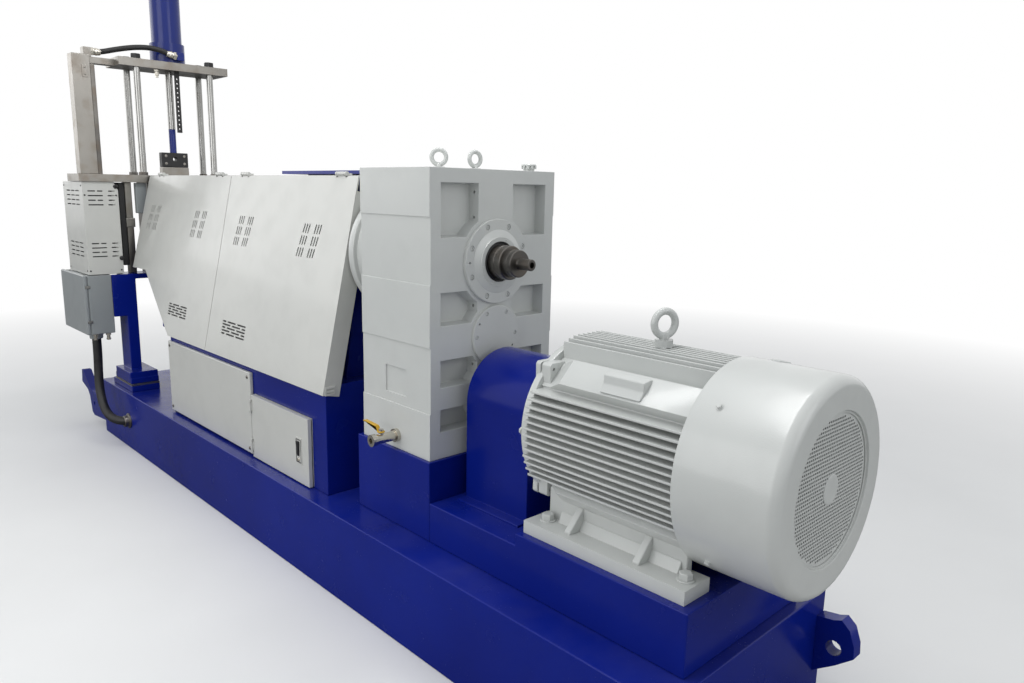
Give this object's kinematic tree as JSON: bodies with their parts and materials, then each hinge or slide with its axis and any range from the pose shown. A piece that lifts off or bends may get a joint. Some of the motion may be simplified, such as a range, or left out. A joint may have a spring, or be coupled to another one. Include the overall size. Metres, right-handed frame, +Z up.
{
  "type": "single-screw plastic extruder",
  "caption": "Single-screw plastic extruder on a long welded base, with flange motor drive, stacked gearbox, guarded barrel, small cabinet and a hydraulic slide-plate screen changer.",
  "frame": {"origin": "on the floor, at the middle of the base box", "axes": "+X along the machine from the melt outlet towards the motor, -Y towards the operator side with the cabinet, +Z up"},
  "size_m": [4.963, 1.033, 2.84],
  "materials": {
    "blue_paint": "glossy ultramarine machine enamel",
    "white_sheet": "satin powder-coated sheet",
    "grey_enamel": "light grey machine enamel",
    "box_grey": "grey powder coat",
    "cylinder_blue": "lighter blue enamel",
    "bright_steel": "ground steel",
    "dark_steel": "oiled machined steel",
    "rod_chrome": "hard chrome",
    "band_metal": "band heater sheet",
    "valve_metal": "plated brass",
    "lever_yellow": "yellow dipped lever",
    "handle_black": "moulded black plastic",
    "conduit_black": "black rubber conduit and hose"
  },
  "bodies": {
    "machine": {"base_frame": "blue_paint", "lifting_lugs": "blue_paint", "gearbox_pedestal": "blue_paint", "drive_plinth": "blue_paint", "support_box": "blue_paint", "side_panels": "white_sheet", "control_cabinet": "white_sheet", "gearbox_base_section": "grey_enamel", "gearbox_low_section": "grey_enamel", "gearbox_middle_section": "grey_enamel", "gearbox_upper_section": "grey_enamel", "gearbox_top_section": "grey_enamel", "bearing_covers": "grey_enamel", "eyebolts": "grey_enamel", "drain_valve": "valve_metal", "thrust_housing": "grey_enamel", "barrel": "dark_steel", "heater_bands": "band_metal", "feed_throat": "blue_paint", "guard_frame": "blue_paint", "guard_top": "white_sheet", "guard_back_covers": "white_sheet", "coupling_guard": "blue_paint", "shaft_coupling": "dark_steel", "motor_end_shield": "grey_enamel", "motor_frame": "grey_enamel", "motor_feet": "grey_enamel", "motor_fan_cowl": "grey_enamel", "motor_terminal_box": "grey_enamel", "head_posts": "blue_paint", "hanger_bars": "bright_steel", "head_block": "dark_steel", "head_plates": "bright_steel", "tie_rods": "rod_chrome", "hydraulic_cylinder": "cylinder_blue", "guide_column": "bright_steel", "heater_cover": "white_sheet", "junction_box": "box_grey", "cable_conduit": "conduit_black", "switch_rail": "dark_steel", "hydraulic_hose": "conduit_black"},
    "cover_left": {"guard_cover_left": "white_sheet"},
    "cover_right": {"guard_cover_right": "white_sheet"},
    "door": {"cabinet_door": "white_sheet", "door_handle": "handle_black"},
    "shaft": {"output_shaft": "dark_steel"},
    "slide": {"piston_rod": "rod_chrome", "screen_slide": "dark_steel"},
    "lever": {"drain_lever": "lever_yellow"}
  },
  "joints": [
    {"name": "cover_left_hinge", "type": "hinge", "parent": "machine", "child": "cover_left", "pos_m": [-1.2, -0.195, 1.626], "axis": [-1, 0, 0], "range_deg": [0, 70]},
    {"name": "cover_right_hinge", "type": "hinge", "parent": "machine", "child": "cover_right", "pos_m": [-0.1, -0.195, 1.626], "axis": [-1, 0, 0], "range_deg": [0, 70]},
    {"name": "cabinet_door_hinge", "type": "hinge", "parent": "machine", "child": "door", "pos_m": [-0.188, -0.385, 0.5], "axis": [0, 0, -1], "range_deg": [0, 110]},
    {"name": "output_shaft_spin", "type": "hinge", "parent": "machine", "child": "shaft", "pos_m": [1.1, 0, 1.324], "axis": [1, 0, 0], "continuous": true},
    {"name": "screen_slide_stroke", "type": "slide", "parent": "machine", "child": "slide", "axis": [0, 0, -1], "range_m": [0, 0.25]},
    {"name": "drain_lever_turn", "type": "hinge", "parent": "machine", "child": "lever", "pos_m": [0.828, -0.365, 0.712], "axis": [0, 0, 1], "range_deg": [0, 90]}
  ]
}
